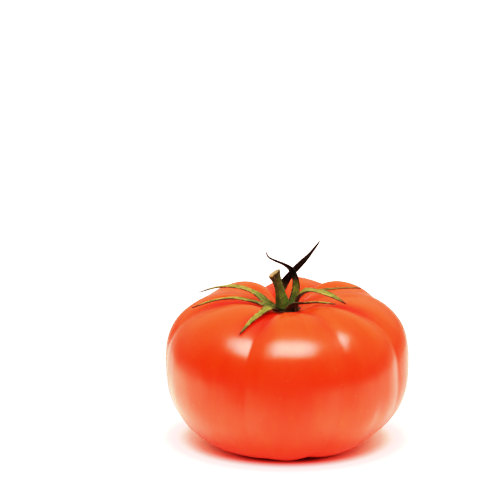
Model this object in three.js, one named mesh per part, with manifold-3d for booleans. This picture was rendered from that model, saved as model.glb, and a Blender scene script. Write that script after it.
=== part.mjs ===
// Field tomato: a large ribbed fruit resting on its blossom end, with its calyx and stem stub.
// Millimetres, +Z up. The origin is the middle of the flat spot that the fruit rests on.
// Azimuths are in degrees: 0 is +X (right), 90 is +Y (back), 270 is the front.
import * as THREE from 'three';
import { mergeVertices } from 'three/addons/utils/BufferGeometryUtils.js';
import Module from 'manifold-3d';

// Fruit, driving dimensions.
const bellyWidth = 90;        // plain diameter, before the lobes swell
const bellyHeight = 31.1;     // height of the widest ring above the rest
const crownRise = 27.2;       // belly to the top, before the stem pit is pressed in
const crownFullness = 2.8;    // superellipse power above the belly: square front and back shoulders
const leftFullness = 2.6;     // a rounder one at the left
const rightFullness = 3.0;    // and the squarest at the right
const footDrop = 31.9;        // belly to the bottom, 0.8 past the rest, so that a flat spot is left
const footFullness = 2.3;     // superellipse power under the belly
const pitDepth = 7.4;         // stem pit
const pitRadius = 13;
const creaseStart = 2;        // the creases fade in from the pit's middle
const creaseFull = 17;
const creaseSharpness = 0.8;  // under 1 the lobes are round and the creases narrow
const fruitColumns = 84;
const fruitRows = 40;

// Creases between the lobes: azimuth at the shoulder, how far it drifts by the blossom end, depth at
// the shoulder, share of it left at the blossom end, how far the lobe that follows swells out, and how
// round the bottom of the crease is.
const creases = [
  { at: 29, drift: 3, depth: 0.6, foot: 0.3, swell: 1.5, round: 0.06 },
  { at: 59, drift: 2, depth: 1.3, foot: 0.25, swell: 0.8, round: 0.06 },
  { at: 108, drift: -4, depth: 3.6, foot: 0.2, swell: 0.9, round: 0.06 },
  { at: 150, drift: 3, depth: 0.4, foot: 0.4, swell: 0.1, round: 0.06 },
  { at: 183.5, drift: -1, depth: 1.8, foot: 0.25, swell: 0.6, round: 0.06 },
  { at: 250, drift: 2, depth: 2.5, foot: 0.15, swell: -0.2, round: 0.06 },
  { at: 297, drift: -9, depth: 0.9, foot: 1.1, swell: 0.5, round: 0.2 },
  { at: 336.5, drift: -2, depth: 1.9, foot: 0.3, swell: -0.3, round: 0.12 },
];
const driftFrom = 60;         // polar angles between which a crease drifts
const driftTo = 165;

// Calyx, driving dimensions.
const hubRadius = 5.6;
const hubThickness = 0.8;
const hubGap = 0.5;           // between the hub and the middle of the pit
const sepalThickness = 0.9;   // at the midrib
const rimThickness = 0.6;
const sepalChannel = 0.22;    // how deep the midrib sinks, as a share of the half width
const tipHalfWidth = 0.3;
const sepalRows = 18;
const sepalColumns = 4;

// Stem stub, driving dimensions.
const stemFoot = new THREE.Vector3(-1.2, -0.3, 53.2);
const stemBend = new THREE.Vector3(-2.25, -0.3, 58.2);
const stemNeck = new THREE.Vector3(-3.35, -0.3, 62.4);
const stemTop = new THREE.Vector3(-4.7, -0.3, 66.1);
const stemSides = 14;
const stemRows = 16;
const footTilt = 6;           // degrees that the sections lean to the left, at the foot
const topTilt = 34;           // and at the knuckle, whose end parted on a slant

const radians = THREE.MathUtils.degToRad;

function smoothstep(value, from, to) {
  return THREE.MathUtils.smoothstep(value, from, to);
}

// Offset of the skin by the lobes at an azimuth, and how much of it stays at the blossom end.
function lobeOffset(polar, azimuth) {
  const drifted = smoothstep(polar, radians(driftFrom), radians(driftTo));
  for (let index = 0; index < creases.length; index += 1) {
    const left = creases[index];
    const right = creases[(index + 1) % creases.length];
    const start = left.at + left.drift * drifted;
    const span = (right.at + right.drift * drifted - start + 360) % 360;
    const t = ((azimuth - start + 720) % 360) / span;
    if (t < 1) {
      const low = THREE.MathUtils.lerp(left.round, right.round, t);
      const arch = Math.hypot(Math.sin(Math.PI * t), low);
      const high = Math.hypot(1, low);
      const bulge = ((arch - low) / (high - low)) ** creaseSharpness;
      const depth = THREE.MathUtils.lerp(left.depth, right.depth, t);
      const foot = THREE.MathUtils.lerp(left.foot, right.foot, t);
      return { inward: depth * (1 - bulge), outward: left.swell * Math.sin(Math.PI * t) ** 2, foot };
    }
  }
  return { inward: 0, outward: 0, foot: 0 };
}

// Skin point at a polar angle (0 at the stem, PI at the blossom end) and an azimuth.
function skinAt(polar, azimuth) {
  const across = Math.sin(polar);
  const along = Math.cos(polar);
  const upper = along > 0;
  const sideways = Math.cos(radians(azimuth));
  const side = sideways > 0 ? rightFullness : leftFullness;
  const crown = THREE.MathUtils.lerp(crownFullness, side, sideways ** 2);
  const power = upper ? crown : footFullness;
  const rise = upper ? crownRise : -footDrop;
  let radius = (bellyWidth / 2) * across;
  let height = bellyHeight + rise * Math.max(1 - across ** power, 0) ** (1 / power);
  if (upper) {
    height -= pitDepth * Math.exp(-((radius / pitRadius) ** 2));
  }
  const lobe = lobeOffset(polar, azimuth);
  const fadeIn = smoothstep(radius, creaseStart, creaseFull);
  const fadeOut = smoothstep(height / (bellyHeight + crownRise), 0, 1);
  const crease = lobe.inward * THREE.MathUtils.lerp(lobe.foot, 1, fadeOut);
  const swell = lobe.outward * THREE.MathUtils.lerp(0.2, 1, fadeOut);
  const offset = (swell - crease) * fadeIn;
  radius += offset * across;
  height += offset * along;
  return { radius, height: Math.max(height, 0) };
}

function cylindrical(radius, azimuth, height) {
  const angle = radians(azimuth);
  return new THREE.Vector3(radius * Math.cos(angle), radius * Math.sin(angle), height);
}

// Point at a lift above the skin of the crown.
function overSkin(reach, azimuth, lift) {
  let low = 0;
  let high = Math.PI / 2;
  for (let step = 0; step < 40; step += 1) {
    const middle = (low + high) / 2;
    if (skinAt(middle, azimuth).radius < reach) {
      low = middle;
    } else {
      high = middle;
    }
  }
  return cylindrical(reach, azimuth, skinAt(low, azimuth).height + lift);
}

function point(x, y, z) {
  return new THREE.Vector3(x, y, z);
}

// Sepals: half width at the root and where widest, roll at the root and at the tip in degrees, how
// late the blade narrows, and the midrib path from the hub to the tip.
const sepals = {
  uprightLeft: {
    halfWidths: [1.7, 1.6],
    roll: [35, -15],
    taper: 2.5,
    path: [point(1.7, 1.9, 52), point(2.4, 3.2, 54.6), point(3.2, 3.8, 57.6), point(3.5, 4, 60.5),
      point(3.1, 3.9, 63.4), point(1.6, 3.6, 66.5), point(-1.1, 3.2, 68.5), point(-4.4, 3, 69.9),
      point(-6.7, 2.9, 71.2), point(-7.7, 2.8, 73.1)],
  },
  uprightRight: {
    halfWidths: [1.3, 1.95],
    roll: [0, 25],
    taper: 2.5,
    path: [point(-1.7, 3.6, 52.4), point(-2.2, 4.4, 55), point(-2, 4.8, 59), point(-0.1, 5.2, 62.6),
      point(3.6, 5.6, 66.7), point(8.1, 6.8, 71.2), point(12.1, 8, 76)],
  },
  backLeft: {
    halfWidths: [1.6, 1.9],
    roll: [-20, -10],
    taper: 1.5,
    path: [overSkin(4.6, 172, 1), overSkin(8.3, 167, 1.5), overSkin(12.5, 161, 2), overSkin(18.8, 161, 2.3),
      overSkin(27, 161.5, 2.5), overSkin(34, 162, 2.9)],
  },
  left: {
    halfWidths: [1.5, 1.6],
    roll: [-10, -5],
    taper: 1.5,
    path: [overSkin(4.6, 200, 1), overSkin(8.4, 191, 1.1), overSkin(12.8, 187, 1.5),
      overSkin(19, 186.5, 1.9), overSkin(26, 186.5, 2.4), overSkin(34.6, 186.5, 3.6)],
  },
  frontLeft: {
    halfWidths: [1.7, 1.8],
    roll: [0, 0],
    taper: 1.5,
    path: [overSkin(5, 222, 0.7), overSkin(8.5, 227, 1), overSkin(13, 239, 1.4), overSkin(19, 243, 1.2),
      overSkin(26, 242.5, 1.1), overSkin(34.6, 241, 1.1)],
  },
  frontRight: {
    halfWidths: [3, 1.2],
    roll: [0, 35],
    taper: 1.5,
    path: [overSkin(3.5, 302, 0.9), overSkin(4.2, 303, 2.7), overSkin(6.2, 312, 3.3),
      overSkin(9.2, 318, 2.6), overSkin(14.5, 320, 1.6), overSkin(22.3, 321.5, 1.6)],
  },
  right: {
    halfWidths: [1.8, 2.5],
    roll: [18, 85],
    taper: 1.5,
    path: [overSkin(4.8, 320, 0.8), overSkin(4.9, 322, 3.3), overSkin(5.4, 330, 6.1),
      overSkin(7.4, 340, 7.4), overSkin(12, 343, 5.6), overSkin(17.4, 342, 3.4), overSkin(22.8, 340, 1.3)],
  },
  backRight: {
    halfWidths: [1.2, 0.95],
    roll: [0, 0],
    taper: 1.5,
    path: [overSkin(2.9, 32, 0.9), overSkin(5.5, 38, 3.2), overSkin(8.2, 33, 4.2), overSkin(13, 23, 2.9),
      overSkin(21, 20, 1.7), overSkin(29.1, 20, 2.3)],
  },
};

// Moves every vertex of a geometry; vertices that coincide stay together.
function reshape(geometry, move) {
  const position = geometry.attributes.position;
  const vertex = new THREE.Vector3();
  for (let index = 0; index < position.count; index += 1) {
    vertex.fromBufferAttribute(position, index);
    const moved = move(vertex);
    position.setXYZ(index, moved.x, moved.y, moved.z);
  }
  return welded(geometry);
}

// Keeps only positions, with the doubled vertices of seams and poles merged.
function welded(geometry) {
  geometry.deleteAttribute('normal');
  geometry.deleteAttribute('uv');
  const closed = mergeVertices(geometry, 1e-3);
  closed.computeVertexNormals();
  return closed;
}

// Fruit: a sphere whose rings follow the profile and whose columns follow the lobes.
function fruitGeometry() {
  const sphere = new THREE.SphereGeometry(1, fruitColumns, fruitRows).rotateX(Math.PI / 2);
  return reshape(sphere, (vertex) => {
    const row = Math.round((Math.acos(THREE.MathUtils.clamp(vertex.z, -1, 1)) / Math.PI) * fruitRows);
    const turn = Math.atan2(vertex.y, vertex.x) / (2 * Math.PI);
    const column = (Math.round(turn * fruitColumns) + fruitColumns) % fruitColumns;
    const azimuth = (column * 360) / fruitColumns;
    const skin = skinAt((row * Math.PI) / fruitRows, azimuth);
    return cylindrical(row % fruitRows === 0 ? 0 : skin.radius, azimuth, skin.height);
  });
}

// Half width of a sepal along its length, ending in a drawn-out tip.
function sepalHalfWidth(t, [root, widest], taper) {
  const blade = THREE.MathUtils.lerp(root, widest, smoothstep(t, 0, 0.3));
  return tipHalfWidth + (blade - tipHalfWidth) * (1 - t ** taper);
}

// One sepal: a plane bent along the midrib path, given thickness and closed by a rim.
function sepalGeometry({ path, halfWidths, roll, taper }) {
  const midrib = new THREE.CatmullRomCurve3(path, false, 'centripetal');
  const frames = midrib.computeFrenetFrames(sepalRows, false);
  const start = midrib.getPointAt(0);
  const outward = new THREE.Vector3(start.x, start.y, 0).normalize();
  const sideways = new THREE.Vector3().crossVectors(outward, new THREE.Vector3(0, 0, 1));
  sideways.addScaledVector(frames.tangents[0], -sideways.dot(frames.tangents[0])).normalize();
  const base = Math.atan2(sideways.dot(frames.binormals[0]), sideways.dot(frames.normals[0]));
  const plane = new THREE.PlaneGeometry(2, 1, sepalColumns, sepalRows);
  const sheet = plane.attributes.position;
  const size = sheet.count;
  const vertices = new Float32Array(size * 6);
  for (let index = 0; index < size; index += 1) {
    const across = sheet.getX(index);
    const row = Math.round((sheet.getY(index) + 0.5) * sepalRows);
    const t = row / sepalRows;
    const turn = base + radians(THREE.MathUtils.lerp(roll[0], roll[1], t));
    const side = frames.normals[row].clone().multiplyScalar(Math.cos(turn));
    side.addScaledVector(frames.binormals[row], Math.sin(turn));
    const face = new THREE.Vector3().crossVectors(side, frames.tangents[row]);
    const half = sepalHalfWidth(t, halfWidths, taper);
    const thickness = THREE.MathUtils.lerp(sepalThickness, rimThickness, Math.abs(across));
    const fold = sepalChannel * half * Math.abs(across);
    const middle = midrib.getPointAt(t).addScaledVector(side, across * half);
    middle.addScaledVector(face, fold);
    middle.clone().addScaledVector(face, thickness / 2).toArray(vertices, index * 3);
    middle.clone().addScaledVector(face, -thickness / 2).toArray(vertices, (size + index) * 3);
  }
  return closedSheet(plane.index.array, vertices, size);
}

// Solid from a sheet: its faces, the same faces turned over behind it, and a rim between the edges.
function closedSheet(faces, vertices, size) {
  const triangles = [];
  const edges = new Map();
  for (let index = 0; index < faces.length; index += 3) {
    const [a, b, c] = [faces[index], faces[index + 1], faces[index + 2]];
    triangles.push(a, b, c, a + size, c + size, b + size);
    for (const [from, to] of [[a, b], [b, c], [c, a]]) {
      if (!edges.delete(`${to},${from}`)) {
        edges.set(`${from},${to}`, [from, to]);
      }
    }
  }
  for (const [from, to] of edges.values()) {
    triangles.push(to, from, from + size, to, from + size, to + size);
  }
  const geometry = new THREE.BufferGeometry();
  geometry.setAttribute('position', new THREE.BufferAttribute(vertices, 3));
  geometry.setIndex(triangles);
  return geometry;
}

// Hub that the sepals grow from: a thin dish that follows the pit.
function hubGeometry() {
  const steps = [0, 0.4, 0.75, 1];
  const under = steps.map((share) => {
    const reach = share * hubRadius;
    return new THREE.Vector2(reach, overSkin(reach, 0, hubGap).z);
  });
  const over = steps.slice().reverse().map((share, index) => {
    const rim = under[steps.length - 1 - index];
    return new THREE.Vector2(0.94 * rim.x, rim.y + hubThickness * (1 - 0.4 * share));
  });
  return new THREE.LatheGeometry([...under, ...over], 20).rotateX(Math.PI / 2);
}

// Calyx: the hub and every sepal joined in one solid.
function calyxGeometry(wasm) {
  let solid = toSolid(wasm, welded(hubGeometry()));
  for (const sepal of Object.values(sepals)) {
    solid = solid.add(toSolid(wasm, sepalGeometry(sepal)));
  }
  return fromSolid(solid.simplify(0.02));
}

// Stem radius along its length: thick foot, narrow neck, and the knuckle where it parted.
function stemRadius(t) {
  const waist = THREE.MathUtils.lerp(2.6, 1.6, smoothstep(t, 0, 0.6));
  const knuckle = 0.75 * Math.exp(-(((t - 1) / 0.16) ** 2));
  return waist + knuckle;
}

// Stem: a cylinder bent along its leaning path, with the end cut on a slant.
function stemGeometry() {
  const path = new THREE.CatmullRomCurve3([stemFoot, stemBend, stemNeck, stemTop]);
  const cylinder = new THREE.CylinderGeometry(1, 1, 1, stemSides, stemRows).rotateX(Math.PI / 2);
  return reshape(cylinder, (vertex) => {
    const t = Math.round((vertex.z + 0.5) * stemRows) / stemRows;
    const rim = Math.hypot(vertex.x, vertex.y) > 0.5 ? 1 : 0;
    const turn = Math.round((Math.atan2(vertex.y, vertex.x) / (2 * Math.PI)) * stemSides * 4);
    const angle = (turn * 2 * Math.PI) / (stemSides * 4);
    const radius = stemRadius(t) * rim;
    const placed = path.getPointAt(t);
    const tilt = radians(THREE.MathUtils.lerp(footTilt, topTilt, smoothstep(t, 0.3, 1)));
    placed.x += radius * Math.cos(angle) * Math.cos(tilt);
    placed.y += radius * Math.sin(angle);
    placed.z += radius * Math.cos(angle) * Math.sin(tilt);
    return placed;
  });
}

function toSolid(wasm, geometry) {
  return new wasm.Manifold(new wasm.Mesh({
    numProp: 3,
    vertProperties: new Float32Array(geometry.attributes.position.array),
    triVerts: new Uint32Array(geometry.index.array),
  }));
}

function fromSolid(solid) {
  const mesh = solid.getMesh();
  const geometry = new THREE.BufferGeometry();
  geometry.setAttribute('position', new THREE.BufferAttribute(mesh.vertProperties, mesh.numProp));
  geometry.setIndex(new THREE.BufferAttribute(mesh.triVerts, 1));
  geometry.computeVertexNormals();
  return geometry;
}

function piece(name, geometry, color, roughness) {
  const material = new THREE.MeshStandardMaterial({ color, roughness, metalness: 0 });
  const mesh = new THREE.Mesh(geometry, material);
  mesh.name = name;
  return mesh;
}

const wasm = await Module();
wasm.setup();

const tomato = new THREE.Group();
tomato.add(piece('fruit', fruitGeometry(), 0xe23a18, 0.3));
tomato.add(piece('calyx', calyxGeometry(wasm), 0x6f8f34, 0.6));
tomato.add(piece('stem', stemGeometry(), 0x5d7a2c, 0.6));

export default tomato;
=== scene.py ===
import math
import random

import bpy
from mathutils import Matrix, Vector, noise


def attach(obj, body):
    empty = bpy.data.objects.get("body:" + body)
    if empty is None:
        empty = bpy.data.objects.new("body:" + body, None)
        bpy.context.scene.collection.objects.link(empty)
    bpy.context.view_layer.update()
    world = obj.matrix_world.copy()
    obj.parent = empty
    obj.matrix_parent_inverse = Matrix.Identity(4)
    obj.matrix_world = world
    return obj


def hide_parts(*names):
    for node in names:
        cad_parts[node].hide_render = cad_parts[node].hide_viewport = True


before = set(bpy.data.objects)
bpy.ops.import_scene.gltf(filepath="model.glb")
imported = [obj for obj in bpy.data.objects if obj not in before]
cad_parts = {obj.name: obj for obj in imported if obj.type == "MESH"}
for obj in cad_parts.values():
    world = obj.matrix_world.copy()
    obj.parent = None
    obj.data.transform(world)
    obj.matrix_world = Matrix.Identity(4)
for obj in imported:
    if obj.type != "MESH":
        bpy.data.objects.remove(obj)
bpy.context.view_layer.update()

# A ribbed field tomato: lobed skin, a calyx of eight sepals and a short stem stub.
# Shapes are in millimetres; light, floor and material values are in metres, as Blender has them.
# Azimuths are degrees: 0 right, 90 back, 270 front.
mm = 0.001


# Small tools

def deselectAll():
    bpy.ops.object.select_all(action="DESELECT")


def blend(low, high, share):
    return low + (high - low) * share


def smoothStep(value, start, end):
    share = min(max((value - start) / (end - start), 0), 1)
    return share * share * (3 - 2 * share)


def around(radius, azimuth, height):
    angle = math.radians(azimuth)
    return Vector((radius * math.cos(angle), radius * math.sin(angle), height))


def finishPiece(piece, name, node, material):
    piece.name = name
    piece.data.name = name
    piece.data.materials.clear()
    piece.data.materials.append(material)
    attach(piece, "root")
    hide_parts(node)


def applyModifiers(piece):
    bpy.context.view_layer.objects.active = piece
    for modifier in list(piece.modifiers):
        bpy.ops.object.modifier_apply(modifier=modifier.name)


# Shader tools

def newMaterial(name):
    material = bpy.data.materials.new(name)
    material.use_nodes = True
    tree = material.node_tree
    tree.nodes.clear()
    output = tree.nodes.new("ShaderNodeOutputMaterial")
    shader = tree.nodes.new("ShaderNodeBsdfPrincipled")
    tree.links.new(shader.outputs["BSDF"], output.inputs["Surface"])
    return material, tree, shader


def addNode(tree, kind, inputs=None, **settings):
    node = tree.nodes.new(kind)
    for key, value in settings.items():
        setattr(node, key, value)
    for key, value in (inputs or {}).items():
        if isinstance(value, bpy.types.NodeSocket):
            tree.links.new(value, node.inputs[key])
        else:
            node.inputs[key].default_value = value
    return node


def mathNode(tree, operation, first, second=0.0, third=None, clamp=False):
    inputs = {0: first, 1: second}
    if third is not None:
        inputs[2] = third
    return addNode(tree, "ShaderNodeMath", inputs, operation=operation, use_clamp=clamp).outputs[0]


def vectorNode(tree, operation, inputs, output="Vector"):
    return addNode(tree, "ShaderNodeVectorMath", inputs, operation=operation).outputs[output]


def addNoise(tree, place, values):
    return addNode(tree, "ShaderNodeTexNoise", {"Vector": place, **values}).outputs["Fac"]


def readAttribute(tree, name):
    return addNode(tree, "ShaderNodeAttribute", attribute_name=name).outputs["Fac"]


def mapRange(tree, value, fromLow, fromHigh, toLow=0.0, toHigh=1.0):
    inputs = {"Value": value, "From Min": fromLow, "From Max": fromHigh, "To Min": toLow, "To Max": toHigh}
    return addNode(tree, "ShaderNodeMapRange", inputs, interpolation_type="SMOOTHSTEP").outputs["Result"]


def mixColour(tree, share, first, second):
    inputs = {"Factor": share, 6: first, 7: second}
    return addNode(tree, "ShaderNodeMix", inputs, data_type="RGBA").outputs[2]


def cover(tree, under, mask, share, over):
    # Lays one colour over another by a mask, up to the share given.
    return mixColour(tree, mathNode(tree, "MULTIPLY", mask, share), under, over)


def setSurface(tree, shader, colour, values):
    tree.links.new(colour, shader.inputs["Base Color"])
    for name, value in values.items():
        shader.inputs[name].default_value = value


def newGroup(name, inputs, outputs):
    group = bpy.data.node_groups.new(name, "ShaderNodeTree")
    for label, kind, value in inputs:
        socket = group.interface.new_socket(name=label, in_out="INPUT", socket_type=kind)
        if value is not None:
            socket.default_value = value
    for label, kind in outputs:
        group.interface.new_socket(name=label, in_out="OUTPUT", socket_type=kind)
    return group, group.nodes.new("NodeGroupInput"), group.nodes.new("NodeGroupOutput")


def groupMask(tree, group, place, values):
    inputs = {"Vector": place, **values}
    return addNode(tree, "ShaderNodeGroup", inputs, node_tree=group).outputs["Mask"]


def buildMottleGroup():
    # Soft patches at two sizes, from 0 to 1.
    group, enter, leave = newGroup(
        "mottle",
        [("Vector", "NodeSocketVector", None), ("Patch Scale", "NodeSocketFloat", 90.0),
         ("Grain Scale", "NodeSocketFloat", 700.0), ("Grain Share", "NodeSocketFloat", 0.25)],
        [("Mask", "NodeSocketFloat")])
    patches = addNode(group, "ShaderNodeTexNoise", {
        "Vector": enter.outputs["Vector"], "Scale": enter.outputs["Patch Scale"], "Detail": 3.0})
    grain = addNode(group, "ShaderNodeTexNoise", {
        "Vector": enter.outputs["Vector"], "Scale": enter.outputs["Grain Scale"], "Detail": 2.0})
    mixed = addNode(group, "ShaderNodeMix", {
        "Factor": enter.outputs["Grain Share"], 2: patches.outputs["Fac"], 3: grain.outputs["Fac"]})
    spread = mapRange(group, mixed.outputs[0], 0.25, 0.75)
    group.links.new(spread, leave.inputs["Mask"])
    return group


def buildSpeckGroup():
    # Scattered small round dots, from 0 to 1.
    group, enter, leave = newGroup(
        "specks",
        [("Vector", "NodeSocketVector", None), ("Scale", "NodeSocketFloat", 500.0),
         ("Size", "NodeSocketFloat", 0.2), ("Share", "NodeSocketFloat", 0.3)],
        [("Mask", "NodeSocketFloat")])
    cells = addNode(group, "ShaderNodeTexVoronoi", {
        "Vector": enter.outputs["Vector"], "Scale": enter.outputs["Scale"], "Randomness": 1.0})
    near = mathNode(group, "SUBTRACT", enter.outputs["Size"], cells.outputs["Distance"])
    dot = mathNode(group, "DIVIDE", near, enter.outputs["Size"], clamp=True)
    pick = addNode(group, "ShaderNodeSeparateColor", {"Color": cells.outputs["Color"]})
    kept = mathNode(group, "LESS_THAN", pick.outputs["Red"], enter.outputs["Share"])
    group.links.new(mathNode(group, "MULTIPLY", dot, kept), leave.inputs["Mask"])
    return group


# Camera, light and floor

view = {
    "elevation": 19.0,        # degrees above the horizon
    "distance": 820.0,
    "lens": 161.0,
    "centreHeight": 31.1,
    "sceneRight": 13.6,       # how far the fruit stands right of the picture's middle
    "sceneDown": 41.8,        # and below it
    "sensorWidth": 36,
    "clipStart": 0.01,
}


def addCamera():
    elevation = math.radians(view["elevation"])
    centre = Vector((0, 0, view["centreHeight"])) * mm
    back = Vector((0, -math.cos(elevation), math.sin(elevation)))
    upward = Vector((0, math.sin(elevation), math.cos(elevation)))
    aim = centre + (Vector((-1, 0, 0)) * view["sceneRight"] + upward * view["sceneDown"]) * mm
    place = centre + back * view["distance"] * mm
    bpy.ops.object.camera_add(location=place, rotation=(aim - place).to_track_quat("-Z", "Y").to_euler())
    camera = bpy.context.object
    camera.name = "camera"
    camera.data.lens = view["lens"]
    camera.data.sensor_width = view["sensorWidth"]
    camera.data.clip_start = view["clipStart"]
    bpy.context.scene.camera = camera


light = {
    "softboxSize": (0.93, 0.70),
    "softboxPlace": (0.0, -0.21, 0.8),
    "softboxGlow": 20.0,
    "softboxColour": (1.0, 0.95, 0.90, 1),
    "softboxEdge": 0.66,      # share of the half width over which it fades
    "lampAim": (0, 0, 0.03),
    "fillSize": 1.6,
    "fillHeight": 1.3,
    "fillPower": 13.0,
    "frontSize": 1.4,
    "frontPlace": (0.0, -1.3, 0.7),
    "frontPower": 10.0,
    "warm": (1.0, 0.72, 0.50, 1),     # colour of the surroundings near the horizon
    "peach": (1.0, 0.64, 0.40, 1),    # and above it
    "horizonGlow": 0.6,       # their brightness near the horizon
    "upperGlow": 1.35,        # and above it
    "horizonBand": 0.4,
    "room": 0.12,             # the dark room on the viewer's side
    "roomAway": (0.35, 1, 0),     # direction away from the room
    "roomSides": (-0.7, 0.1),
    "roomTop": (0.75, 0.97),
    "seenWhite": 2.4,         # backdrop as the camera sees it
    # film response: scene brightness as a share of toneWhite, and the shown value
    "toneWhite": 2.0,
    "tone": [(0, 0), (0.03, 0.03), (0.1, 0.17), (0.2, 0.39), (0.5, 0.83), (0.75, 0.89), (1, 1)],
    "redTone": [(0, 0), (0.3, 0.34), (0.6, 0.75), (0.87, 0.885), (1, 1)],    # keeps shadows red
}


def setTone():
    settings = bpy.context.scene.view_settings
    settings.view_transform = "Standard"
    settings.use_curve_mapping = True
    response = settings.curve_mapping
    response.white_level = [light["toneWhite"]] * 3
    for channel, places in ((3, light["tone"]), (0, light["redTone"])):
        for place in places[1:-1]:
            response.curves[channel].points.new(*place)
    response.update()


def addFill(name, place, size, power):
    # A lamp for the diffuse light only, so it leaves no highlight.
    aim = Vector(light["lampAim"]) - Vector(place)
    turn = aim.to_track_quat("-Z", "Y").to_euler()
    bpy.ops.object.light_add(type="AREA", location=place, rotation=turn)
    lamp = bpy.context.object
    lamp.name = name
    lamp.data.shape = "SQUARE"
    lamp.data.size = size
    lamp.data.energy = power
    lamp.visible_glossy = False


def addSoftbox():
    # The window-like panel above, seen only in the reflections, with edges that fade.
    deselectAll()
    bpy.ops.mesh.primitive_plane_add(size=2, location=light["softboxPlace"])
    panel = bpy.context.object
    panel.name = "softbox"
    panel.scale = (light["softboxSize"][0] / 2, light["softboxSize"][1] / 2, 1)
    panel.visible_camera = panel.visible_diffuse = panel.visible_shadow = False
    material = bpy.data.materials.new("softboxGlow")
    material.use_nodes = True
    tree = material.node_tree
    tree.nodes.clear()
    output = addNode(tree, "ShaderNodeOutputMaterial")
    place = addNode(tree, "ShaderNodeTexCoord").outputs["Object"]
    part = addNode(tree, "ShaderNodeSeparateXYZ", {"Vector": place})
    strength = light["softboxGlow"]
    for axis in ("X", "Y"):
        aside = mathNode(tree, "ABSOLUTE", part.outputs[axis])
        fade = mapRange(tree, aside, 1 - light["softboxEdge"], 1.0, 1.0, 0.0)
        strength = mathNode(tree, "MULTIPLY", fade, strength)
    glow = addNode(tree, "ShaderNodeEmission", {"Color": light["softboxColour"], "Strength": strength})
    tree.links.new(glow.outputs[0], output.inputs["Surface"])
    panel.data.materials.append(material)


def addSurroundings():
    # A dark room on the viewer's side, and a warm bright one behind, which the camera sees as white.
    world = bpy.data.worlds.new("studio")
    bpy.context.scene.world = world
    world.use_nodes = True
    tree = world.node_tree
    tree.nodes.clear()
    output = addNode(tree, "ShaderNodeOutputWorld")
    direction = addNode(tree, "ShaderNodeTexCoord").outputs["Generated"]
    part = addNode(tree, "ShaderNodeSeparateXYZ", {"Vector": direction})
    away = vectorNode(tree, "DOT_PRODUCT", {0: direction, 1: light["roomAway"]}, "Value")
    towards = mapRange(tree, away, *light["roomSides"], 1.0, 0.0)
    low = mapRange(tree, part.outputs["Z"], *light["roomTop"], 1.0, 0.0)
    dark = mathNode(tree, "MULTIPLY", towards, low)
    above = mapRange(tree, part.outputs["Z"], 0.0, light["horizonBand"])
    lit = mapRange(tree, above, 0.0, 1.0, light["horizonGlow"], light["upperGlow"])
    glow = addNode(tree, "ShaderNodeMix", {"Factor": dark, 2: lit, 3: light["room"]}).outputs[0]
    seen = addNode(tree, "ShaderNodeLightPath").outputs["Is Camera Ray"]
    strength = addNode(tree, "ShaderNodeMix", {"Factor": seen, 2: glow, 3: light["seenWhite"]}).outputs[0]
    surroundings = mixColour(tree, above, light["warm"], light["peach"])
    tint = mixColour(tree, seen, surroundings, (1, 1, 1, 1))
    surround = addNode(tree, "ShaderNodeBackground", {"Color": tint, "Strength": strength})
    tree.links.new(surround.outputs[0], output.inputs["Surface"])


def addLights():
    addFill("fillAbove", (0, 0, light["fillHeight"]), light["fillSize"], light["fillPower"])
    addFill("fillFront", light["frontPlace"], light["frontSize"], light["frontPower"])
    addSoftbox()
    addSurroundings()


floorLook = {
    "size": 14,
    "drop": 0.00005,          # how far it lies under the fruit
    "white": (0.93, 0.93, 0.93, 1),
    "past": (0.05, 0.05, 0.05, 1),    # past the white surface, for reflections
    "surface": {"Roughness": 0.6, "Specular IOR Level": 0.1, "Emission Strength": 1.0},
    # glow for the camera, for reflections and for bounced light
    "seen": 2.0,
    "mirrored": 1.5,
    "bounced": 0.35,
    "bouncedInShadow": 0.12,
    "mirrorTint": (1.0, 0.76, 0.52),
    # where the white surface ends for reflections: towards the viewer and all round
    "tableEdge": (0.04, 0.20),
    "tableReach": (0.15, 0.28),
    "farShare": 0.35,
    # mirrored glow in front and at the sides, how far out that is, and the same for behind
    "sideGlow": (1.08, 2.0),
    "sideAt": (0.010, 0.038),
    "backGlow": 0.3,
    "backAt": (-0.05, 0.03),
    "backSlant": -0.35,
    # the shadow is an ellipse, a little behind the fruit's middle
    "shadowCentre": (0.0, 0.008),
    "shadowNarrowing": 0.75,
    "shadowEdge": (0.026, 0.040),
    "coreNarrowing": 1.1,
    "core": (0.20, 0.008, 0.006, 1),     # darkest part
    "coreEdge": (0.0245, 0.0295),
    "mirrorEdge": (0.040, 0.066),
    "shade": (0.90, 0.16, 0.12, 1),      # white surface in the red light under the fruit
    "shadeEdge": (0.023, 0.038),
    "blush": (0.5, 0.03, 0.02),          # red light that the fruit throws round itself
    "blushInner": (0.024, 0.029),
    "blushOuter": (0.029, 0.040),
}


def shadowReach(tree, place, narrowing):
    # Distance from the middle of an ellipse round the contact spot.
    centre = [-value for value in floorLook["shadowCentre"]]
    spot = addNode(tree, "ShaderNodeMapping", {
        "Vector": place, "Location": (*centre, 0), "Scale": (narrowing, 1, 1)})
    return vectorNode(tree, "LENGTH", {0: spot.outputs[0]}, "Value")


def floorColour(tree, ray, near, coreReach):
    past = mathNode(tree, "MULTIPLY", mathNode(tree, "SUBTRACT", 1.0, near), ray.outputs["Is Glossy Ray"])
    colour = mixColour(tree, past, floorLook["white"], floorLook["past"])
    shade = mapRange(tree, coreReach, *floorLook["shadeEdge"], 1.0, 0.0)
    colour = mixColour(tree, shade, colour, floorLook["shade"])
    core = mapRange(tree, coreReach, *floorLook["coreEdge"], 1.0, 0.0)
    core = mathNode(tree, "MULTIPLY", core, ray.outputs["Is Camera Ray"])
    return mixColour(tree, core, colour, floorLook["core"])


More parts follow.
